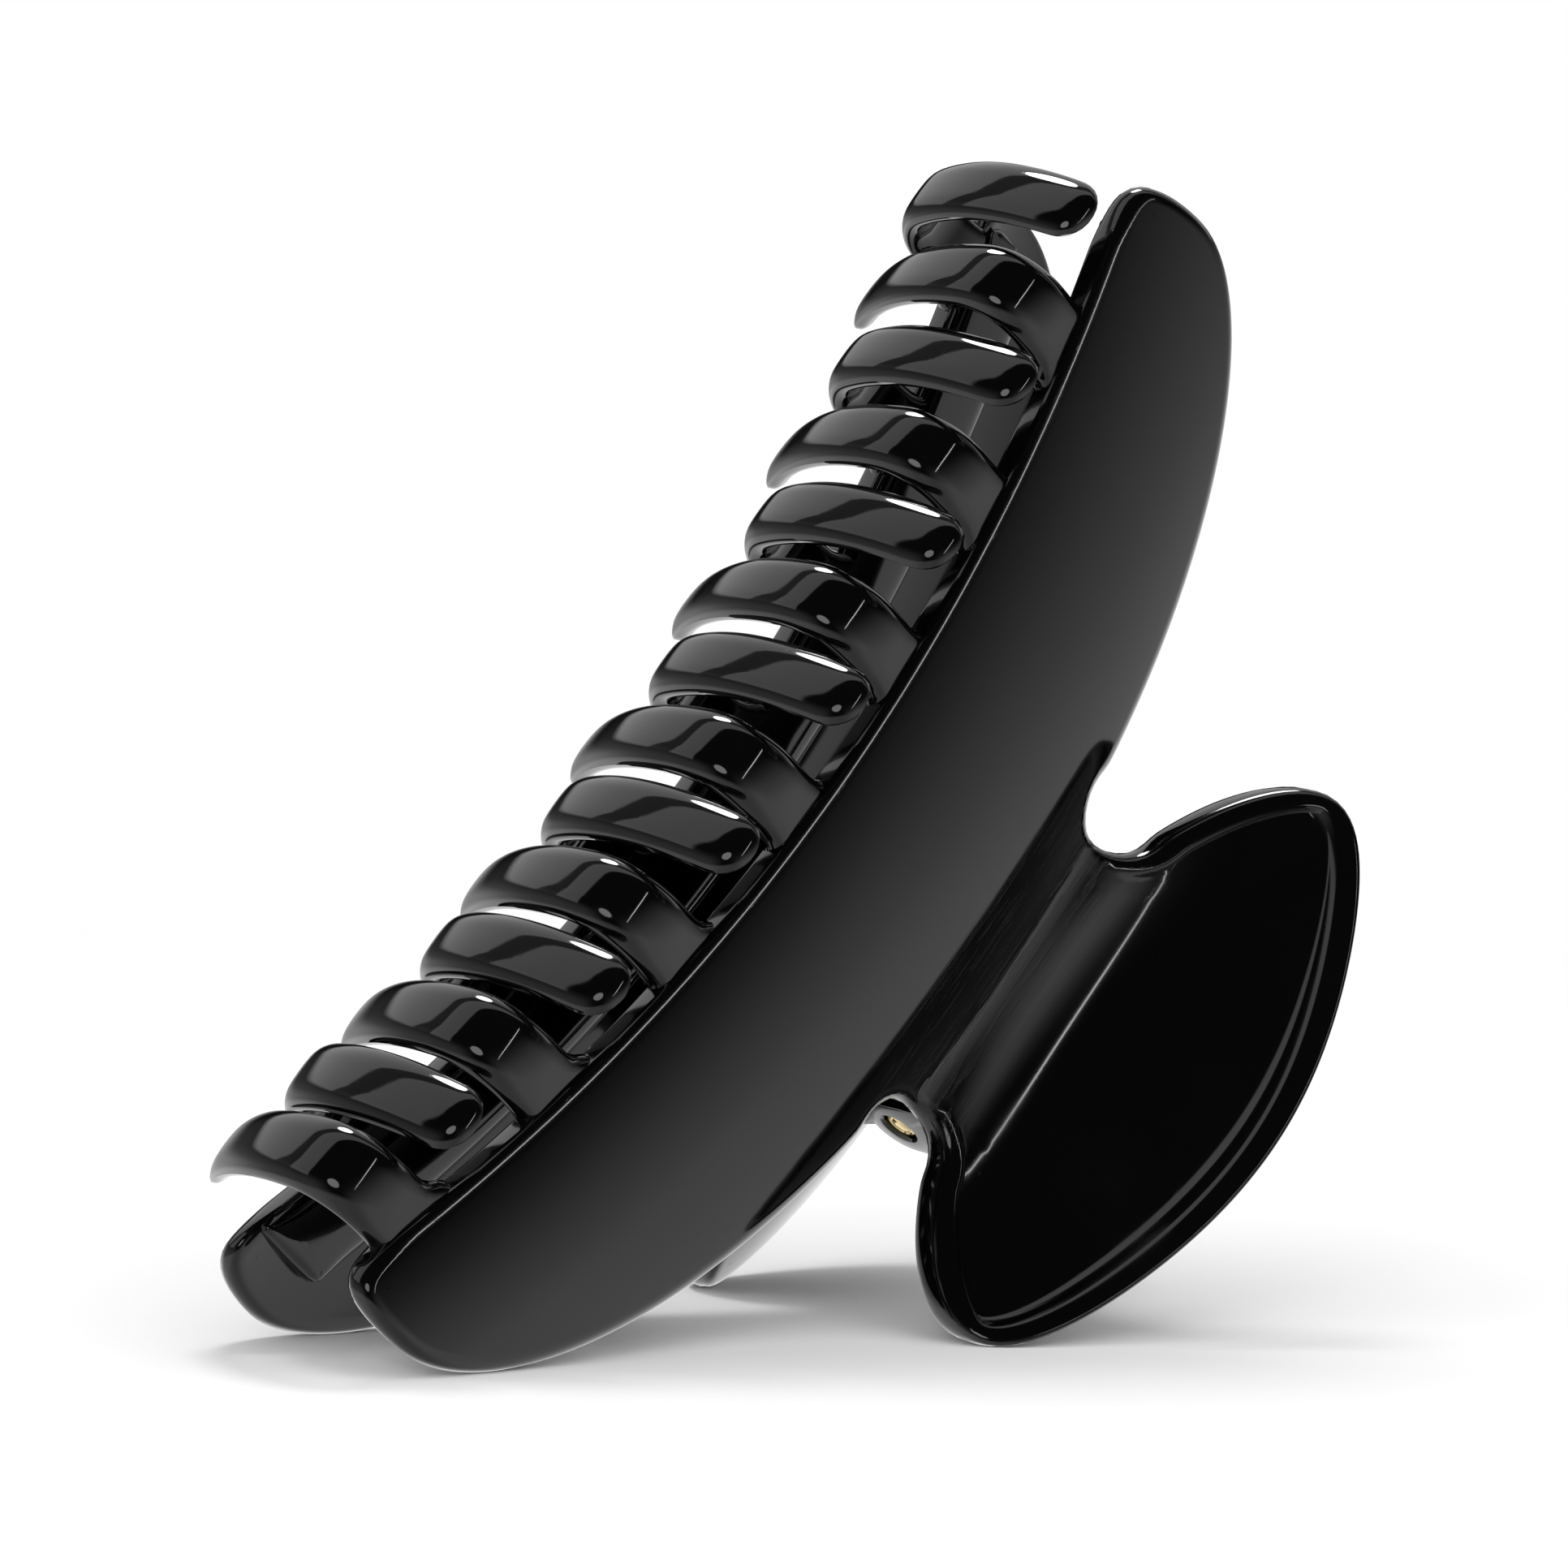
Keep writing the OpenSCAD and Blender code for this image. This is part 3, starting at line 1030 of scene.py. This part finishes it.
@dataclass
class Comb:
    """One comb: a root strip with rounded gullets and curved, domed fingers."""

    jaw: Jaw
    standing: Standing
    shell: ShellSizes = field(default_factory=ShellSizes)
    comb: CombSizes = field(default_factory=CombSizes)
    finish: Finish = COMB_PLASTIC
    spacing: float = 0.95

    def side_line(self) -> tuple[Array, Array]:
        """The fingers' outer line from the side: (y, z) points and their run."""
        c = self.comb
        turn = math.radians(c.crest_turn)
        meet = np.array(
            [
                c.reach_radius * math.sin(turn),
                c.crest_height + c.reach_radius * (math.cos(turn) - 1),
            ]
        )
        a = np.radians(np.linspace(c.shoulder_end + 8, c.crest_turn, 60))
        shoulder = meet + c.shoulder_radius * np.stack(
            [np.sin(a) - math.sin(turn), np.cos(a) - math.cos(turn)], axis=1
        )
        b = np.radians(np.linspace(c.crest_turn, c.reach_angle, 60))[1:]
        reach = np.stack(
            [c.reach_radius * np.sin(b), c.crest_height + c.reach_radius * (np.cos(b) - 1)], axis=1
        )
        root = np.array([[-11.9, 17.2], [-11.2, 20.0], [-10.8, 22.5], [-11.1, 25.0]])
        line = np.vstack([root, shoulder, reach])
        for _ in range(3):
            line[1:-1] = (line[:-2] + 2 * line[1:-1] + line[2:]) / 4
        run = np.concatenate([[0.0], np.cumsum(np.linalg.norm(np.diff(line, axis=0), axis=1))])
        return line, run

    def strip_outline(self, gullet: float) -> Array:
        """The root strip laid flat, from its lower edge up to the gullets."""
        half = self.comb.half_span
        corners = [(-half, 0.0), (half, 0.0), (half, gullet), (-half, gullet)]
        return soften(np.array(corners), 0.8, 8)

    def finger_outline(self, gullet: float, end: float) -> Array:
        """One finger laid flat, with a filleted root and a round tip.

        Args:
            gullet: Run of the side line at which the gullets end.
            end: Run at the finger's tip.

        Returns:
            The anticlockwise outline, about x = 0.
        """
        c = self.comb
        half, r, tip = c.finger_width / 2, c.gullet_radius, c.finger_width / 2 * 0.9
        run = np.linspace(gullet - 4.0, end - tip, 60)
        t = np.clip((run - gullet) / (end - tip - gullet), 0.0, 1.0)
        short = np.clip(r - (run - gullet), 0.0, r)
        width = half * (1 - 0.12 * t**2) + r - np.sqrt(r**2 - short**2)
        a = np.radians(np.linspace(0, 180, 25))[1:-1]
        cap = np.stack([width[-1] * np.cos(a), end - tip + tip * np.sin(a)], axis=1)
        right = np.stack([width, run], axis=1)
        left = right[::-1] * np.array([-1.0, 1.0])
        return soften(np.vstack([right, cap, left]), 0.8, 6)

    def row_tree(self) -> bpy.types.NodeTree:
        """A node tree that sets copies of a finger in a row that rises and shrinks."""
        tree = bpy.data.node_groups.new("finger_row", "GeometryNodeTree")
        graph = Graph(tree)
        lengths = ("First", "Pitch", "Half span", "Shrink", "Rise", "Root Y", "Root Z")
        kinds = {"Count": "Int", **dict.fromkeys(lengths, "Float"), "Finish": "Material"}
        size = graph.sockets("Finger", kinds, "Row")
        start = graph.out("ShaderNodeCombineXYZ", 0, {0: size["First"]})
        step = graph.out("ShaderNodeCombineXYZ", 0, {0: size["Pitch"] * -1.0})
        points = graph.out(
            "GeometryNodeMeshLine",
            0,
            {"Count": size["Count"], "Start Location": start, "Offset": step},
        )
        x = graph.out("ShaderNodeSeparateXYZ", 0, {0: graph.out("GeometryNodeInputPosition", 0)})
        shrunk = size["Shrink"] * (graph.math("DIVIDE", x, size["Half span"]) ** 2.0)
        lift = size["Root Z"] * shrunk + size["Rise"] * x * x
        move = graph.out("ShaderNodeCombineXYZ", 0, {1: size["Root Y"] * shrunk, 2: lift})
        moved = graph.out("GeometryNodeSetPosition", 0, {"Geometry": points, "Offset": move})
        scale = graph.out("ShaderNodeCombineXYZ", 0, {0: 1.0, 1: 1.0 - shrunk, 2: 1.0 - shrunk})
        row = graph.out(
            "GeometryNodeInstanceOnPoints",
            0,
            {"Points": moved, "Instance": size["Finger"], "Scale": scale},
        )
        graph.finished(row, size["Finish"], "Row")
        return tree

    def row_of(self, finger: bpy.types.Object, name: str) -> bpy.types.Object:
        """Repeats a finger along the comb and carries the row into the shared frame.

        Args:
            finger: One finger in the clip's own frame, in metres. It is used up.
            name: Name of the finished row.

        Returns:
            The row as one plain mesh object.
        """
        c, size = self.comb, self.shell
        values = {
            "Count": c.count,
            "First": c.finger_x(0) * MM,
            "Pitch": c.pitch * MM,
            "Half span": c.pitch * c.count / 2 * MM,
            "Shrink": c.end_shrink,
            "Rise": size.arch_rise / size.half_length**2 / MM,
            "Root Y": -c.finger_inset * MM,
            "Root Z": size.edge_height * MM,
            "Finish": self.finish.material(),
        }
        mesh = grown(finger, self.row_tree(), values)
        flat = np.empty(len(mesh.vertices) * 3)
        mesh.vertices.foreach_get("co", flat)
        placed = self.standing.place(flat.reshape(-1, 3) / MM, self.jaw)
        mesh.vertices.foreach_set("co", placed.astype(np.float32).ravel())
        mesh.update()
        return linked(name, mesh)

    def build(self) -> list[bpy.types.Object]:
        """Makes, dresses and hangs the comb's strip and its row of fingers."""
        c, size = self.comb, self.shell
        line, run = self.side_line()
        tangent = np.gradient(line, run, axis=0)
        tangent /= np.linalg.norm(tangent, axis=1, keepdims=True)
        edge_run = float(np.interp(size.edge_height, line[:40, 1], run[:40]))
        gullet = float(np.interp(c.gullet_height, line[:40, 1], run[:40]))

        def bend_finger(x: Array, s: Array, share: Array, away: Array) -> Array:
            """Bends a flat sheet along the side line, with a domed outer face."""
            y, z = np.interp(s, run, line[:, 0]), np.interp(s, run, line[:, 1])
            ty, tz = np.interp(s, run, tangent[:, 0]), np.interp(s, run, tangent[:, 1])
            reach = np.clip((s - edge_run) / (run[-1] - edge_run), 0.0, 1.0)
            thick = c.finger_thickness * (1 - 0.35 * reach)
            grows = smooth_step(s, 4.0, edge_run + 3)
            thick = c.root_thickness + (thick - c.root_thickness) * grows
            dome = c.dome * (1 - np.clip(away / (c.finger_width * 0.45), 0.0, 1.0)) ** 2
            dome = dome * smooth_step(s, edge_run, edge_run + 4.0)
            inward = thick / 2 * (1 + share) + dome * np.clip(-share, 0.0, 1.0)
            inward = inward - c.root_sink * share * (1 - smooth_step(s, gullet, gullet + 2))
            return np.stack([x, y + inward * tz, z - inward * ty], axis=1)

        def bend_strip(x: Array, s: Array, share: Array, away: Array) -> Array:
            """Bends the strip like a finger's root, and lifts it along the arch."""
            bent = bend_finger(x, s, share * c.strip_swell, away)
            bent[:, 2] += size.arch(x)
            return bent

        strip_line, finger_line = self.strip_outline(gullet), self.finger_outline(gullet, run[-1])
        even = np.ones(len(strip_line))
        strip = RoundedSheet(
            strip_line, c.edge_radius, even, 1.6, bend_strip, 6, 0.05, (1.15, 1.35)
        ).build(f"{self.jaw.value}_comb_strip", self.standing, self.jaw)
        even = np.ones(len(finger_line))
        finger = RoundedSheet(
            finger_line, c.edge_radius, even, self.spacing, bend_finger, 6, 0.05, (1.15, 1.35)
        ).build("finger", Standing(0.0, 0.0), Jaw.FRONT)
        pieces = [self.row_of(finger, f"{self.jaw.value}_comb_fingers"), strip]
        for piece in pieces:
            self.finish.dress(piece)
            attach(piece, self.jaw.body)
        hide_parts(f"{self.jaw.value}_comb")
        return pieces


@dataclass
class Hinge:
    """The brass pin with its head and cap, and the coil spring round it."""

    standing: Standing
    hinge: HingeSizes = field(default_factory=HingeSizes)
    brass: Finish = BRASS
    steel: Finish = SPRING_STEEL

    def head_rings(self, out: float) -> list[Ring]:
        """Rings of a domed head from its seat outwards, for the side out = -1 or 1."""
        h = self.hinge
        seat = h.width / 2 - h.recess_depth + h.head_play
        face, r = seat + h.head_thickness + h.head_crown, h.head_d / 2 + 0.15
        profile = [
            (seat, r - 0.1),
            (seat + 0.1, r),
            (face - 0.3, r),
            (face - 0.12, r * 0.93),
            (face - 0.02, r * 0.80),
            (face, r * 0.74),
            (face - 0.12, r * 0.68),
            (face - 0.12, r * 0.60),
            (face, r * 0.54),
            (face + 0.10, r * 0.30),
            (face + 0.12, r * 0.06),
        ]
        return [Ring(out * at, radius) for at, radius in profile]

    def build_pin(self) -> list[bpy.types.Object]:
        """The pin with its head, and the cap on its other end."""
        h = self.hinge
        seat = h.width / 2 - h.recess_depth + h.head_play
        tip = seat + h.head_thickness * 0.6
        shank = [
            Ring(-seat, h.pin_d / 2),
            Ring(tip - 0.15, h.pin_d / 2),
            Ring(tip, h.pin_d / 2 - 0.15),
        ]
        head = self.head_rings(-1.0)[::-1]
        pin = turned("hinge_pin_turned", head + shank, h.pin_drop, self.standing, Jaw.FRONT)
        ends = self.head_rings(1.0)
        bore = (h.pin_d + 0.05) / 2
        inside_rings = [Ring(tip + 0.05, 0.05), Ring(tip + 0.05, bore), Ring(seat, bore)]
        cap = turned("pin_cap_turned", inside_rings + ends, h.pin_drop, self.standing, Jaw.FRONT)
        for piece, node in ((pin, "hinge_pin"), (cap, "pin_cap")):
            self.brass.dress(piece)
            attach(piece, Jaw.FRONT.body)
            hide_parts(node)
        return [pin, cap]

    def wire_line(self) -> Array:
        """Middle line of the wire: a leg, the coil and the other leg."""
        h = self.hinge
        lean = math.radians(h.leg_angle)
        t = np.linspace(0, 1, 40 * h.coil_turns)
        a = lean - (2 * lean - math.pi + 2 * math.pi * h.coil_turns) * t
        coil = np.stack(
            [h.coil_half * (2 * t - 1), h.coil_radius * np.cos(a), h.coil_radius * np.sin(a)],
            axis=1,
        )
        legs = []
        for side in (-1.0, 1.0):
            run = np.linspace(1.0, 0.08, 9)[:, None] * h.leg_length
            start = np.array(
                [side * h.coil_half, -side * h.coil_radius * math.cos(lean), coil[0, 2]]
            )
            legs.append(start + run * np.array([0.0, side * math.sin(lean), math.cos(lean)]))
        line = np.vstack([legs[0], coil, legs[1][::-1]])
        return line - np.array([0.0, 0.0, h.pin_drop])

    @staticmethod
    def wire_tree() -> bpy.types.NodeTree:
        """A node tree that runs a round wire along the edges of its geometry."""
        tree = bpy.data.node_groups.new("round_wire", "GeometryNodeTree")
        graph = Graph(tree)
        kinds = {"Wire diameter": "Float", "Sides": "Int", "Finish": "Material"}
        size = graph.sockets("Path", kinds, "Wire")
        curve = graph.out("GeometryNodeMeshToCurve", 0, {"Mesh": size["Path"]})
        circle = graph.out(
            "GeometryNodeCurvePrimitiveCircle",
            0,
            {"Resolution": size["Sides"], "Radius": size["Wire diameter"] * 0.5},
        )
        wire = graph.out(
            "GeometryNodeCurveToMesh",
            0,
            {"Curve": curve, "Profile Curve": circle, "Fill Caps": True},
        )
        smooth = graph.out("GeometryNodeSetShadeSmooth", 0, {"Geometry": wire})
        graph.finished(smooth, size["Finish"], "Wire")
        return tree

    def build_spring(self) -> bpy.types.Object:
        """The coil spring round the pin, with its two legs."""
        h = self.hinge
        points = self.standing.place(self.wire_line())
        edges = [(i, i + 1) for i in range(len(points) - 1)]
        mesh = bpy.data.meshes.new("spring_path")
        mesh.from_pydata([tuple(p) for p in points.tolist()], edges, [])
        sizes = {
            "Wire diameter": h.wire_d * MM,
            "Sides": h.wire_sides,
            "Finish": self.steel.material(),
        }
        made = grown(linked("spring_path", mesh), self.wire_tree(), sizes)
        spring = linked("spring_coil", made)
        self.steel.dress(spring)
        ends = self.standing.place(
            np.array([[-h.coil_half, 0.0, -h.pin_drop], [h.coil_half, 0.0, -h.pin_drop]])
        )
        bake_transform(spring)
        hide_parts("torsion_spring")
        return spring

    def build(self) -> list[bpy.types.Object]:
        """Makes every piece of the hinge."""
        return [*self.build_pin(), self.build_spring()]


# ---------------------------------------------------------------- studio


@dataclass(frozen=True)
class Softbox:
    """An elliptical soft light that faces a point."""

    name: str
    place: tuple[float, float, float]
    size: float
    power: float
    long: float = 1.0
    along: tuple[float, float, float] = (0.653, 0.0, 0.757)
    aim: tuple[float, float, float] = (0.0, 0.0, 0.05)

    def build(self) -> None:
        """Adds the light."""
        data = bpy.data.lights.new(self.name, "AREA")
        data.shape, data.size, data.energy = "ELLIPSE", self.size * self.long, self.power
        data.size_y = self.size
        lamp = linked(self.name, data)
        away = (Vector(self.place) - Vector(self.aim)).normalized()
        side = Vector(self.along) - away * away.dot(Vector(self.along))
        side.normalize()
        turn = Matrix((side, away.cross(side), away)).transposed()
        lamp.matrix_world = Matrix.Translation(self.place) @ turn.to_4x4()


@dataclass
class Studio:
    """The pale floor, the soft lights, the surroundings and the camera."""

    azimuth: float = -36.213
    elevation: float = 2.455
    roll: float = -1.033
    distance: float = 0.5088
    across: float = -0.01335
    up: float = 0.04979
    lens: float = 122.43
    floor_radius: float = 1.6
    fill: float = 0.9
    gloom: float = 0.012
    glow_low: float = -0.15
    glow_high: float = 0.55
    beside_glow: float = 0.75
    floor_glow: float = 0.6
    behind_glow: float = 0.45
    left_glow: float = 0.35
    ceiling_glow: float = 0.8
    lights: tuple[Softbox, ...] = (
        Softbox("top_softbox", (0.10, 0.25, 0.80), 0.24, 2.6),
        Softbox("crease_strip", (-0.05, -0.86, 0.55), 0.016, 0.30, long=44.0),
        Softbox("face_softbox", (-0.75, -0.60, 0.42), 0.34, 0.7),
    )

    def build_world(self) -> None:
        """White where the camera looks, and a shaded studio for light and gloss."""
        world = bpy.data.worlds.new("studio")
        bpy.context.scene.world = world
        world.use_nodes = True
        graph = Graph(world.node_tree)
        turn = (0.0, 0.0, -math.radians(self.azimuth))
        seen_way = graph.out(
            "ShaderNodeMapping",
            0,
            {"Vector": graph.out("ShaderNodeTexCoord", "Generated"), "Rotation": turn},
        )
        way = graph.node("ShaderNodeSeparateXYZ", {0: seen_way})
        right, away, up = (Value(graph, way.outputs[i]) for i in range(3))
        low = 1.0 - graph.ramp(up, self.glow_low, self.glow_high)
        beside = graph.ramp(right, -0.1, 0.75)
        floor = (1.0 - graph.ramp(up, -0.22, 0.02)) * (1.0 - 0.75 * graph.ramp(right, -0.2, 0.5))
        behind = graph.ramp(away, 0.2, 0.8) * (1.0 - graph.ramp(up, 0.02, 0.22))
        left = graph.ramp(right * -1.0, 0.3, 0.85) * (1.0 - graph.ramp(up, 0.05, 0.55))
        ceiling = graph.ramp(up, 0.33, 0.40) * graph.ramp(away + right * -0.35, -0.20, -0.15)
        gap = graph.ramp(away, 0.10, 0.13) * (1.0 - graph.ramp(away, 0.30, 0.33))
        ceiling = ceiling * (1.0 - 0.85 * gap)
        level = (
            self.gloom
            + low * beside * self.beside_glow
            + floor * self.floor_glow
            + behind * self.behind_glow
            + left * self.left_glow
            + ceiling * self.ceiling_glow
        )
        rays = graph.node("ShaderNodeLightPath")
        seen = Value(graph, rays.outputs["Is Camera Ray"])
        matt = Value(graph, rays.outputs["Is Diffuse Ray"])
        plain_white = graph.math("MAXIMUM", seen, matt * self.fill)
        strength = graph.math("MAXIMUM", plain_white, (1.0 - seen) * level)
        white = (1.0, 1.0, 1.0, 1.0)
        back = graph.out("ShaderNodeBackground", 0, {"Color": white, "Strength": strength})
        graph.node("ShaderNodeOutputWorld", {"Surface": back})

    def build_floor(self) -> None:
        """A round white floor that fades into the white round it."""
        steps = 96
        angles = np.arange(steps) * 2 * math.pi / steps
        ring = np.stack([np.cos(angles), np.sin(angles), np.zeros(steps)], axis=1)
        mesh = bpy.data.meshes.new("floor")
        rim = [tuple(p) for p in (ring * self.floor_radius).tolist()]
        mesh.from_pydata(rim, [], [list(range(steps))])
        floor = linked("floor", mesh)
        material = bpy.data.materials.new("floor_white")
        material.use_nodes = True
        graph = Graph(material.node_tree)
        at = graph.out("ShaderNodeTexCoord", "Object")
        run = graph.out("ShaderNodeVectorMath", "Value", {0: at}, operation="LENGTH")
        paper = graph.noise(at, 900.0, 2.0) * 0.02 + 0.9
        surface = graph.out("ShaderNodeBsdfDiffuse", 0, {"Roughness": 0.5})
        graph.tree.links.new(
            graph.out("ShaderNodeCombineColor", 0, {0: paper, 1: paper, 2: paper}).socket,
            surface.socket.node.inputs["Color"],
        )
        clear = graph.out("ShaderNodeBsdfTransparent", 0)
        fade = graph.ramp(run, 0.12, 0.55)
        mixed = graph.out("ShaderNodeMixShader", 0, {0: fade, 1: surface, 2: clear})
        graph.node("ShaderNodeOutputMaterial", {"Surface": mixed})
        mesh.materials.append(material)
        floor.visible_glossy = False

    def build_camera(self) -> None:
        """The camera, at the height and side from which the clip is seen."""
        a, e, q = (math.radians(v) for v in (self.azimuth, self.elevation, self.roll))
        right = Vector((math.cos(a), math.sin(a), 0.0))
        back = Vector((math.sin(a) * math.cos(e), -math.cos(a) * math.cos(e), math.sin(e)))
        up = back.cross(right)
        turned_right = math.cos(q) * right - math.sin(q) * up
        turned_up = math.sin(q) * right + math.cos(q) * up
        place = self.across * right + self.up * up + self.distance * back
        data = bpy.data.cameras.new("camera")
        data.lens, data.sensor_width = self.lens, 36.0
        data.clip_start, data.clip_end = 0.01, 20.0
        camera = linked("camera", data)
        axes = Matrix((turned_right, turned_up, back)).transposed()
        camera.matrix_world = Matrix.Translation(place) @ axes.to_4x4()
        bpy.context.scene.camera = camera

    def build(self) -> None:
        """Sets up the whole studio."""
        self.build_world()
        self.build_floor()
        for light in self.lights:
            light.build()
        self.build_camera()
        view = bpy.context.scene.view_settings
        view.view_transform, view.look = "Standard", "None"


def main() -> None:
    """Builds the clip round the frame, piece by piece, then the studio."""
    logging.basicConfig(level=logging.INFO, format="%(name)s: %(message)s")
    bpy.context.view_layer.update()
    standing = Standing.from_joint(frame["joints"][0], HingeSizes())
    made: list[bpy.types.Object] = []
    for jaw in Jaw:
        made += Wing(jaw, standing).build()
        made += Comb(jaw, standing).build()
    made += Hinge(standing).build()
    for piece in made:
        LOG.info("%s: %d faces", piece.name, len(piece.data.polygons))
    Studio().build()


if __name__ == "__main__":
    main()
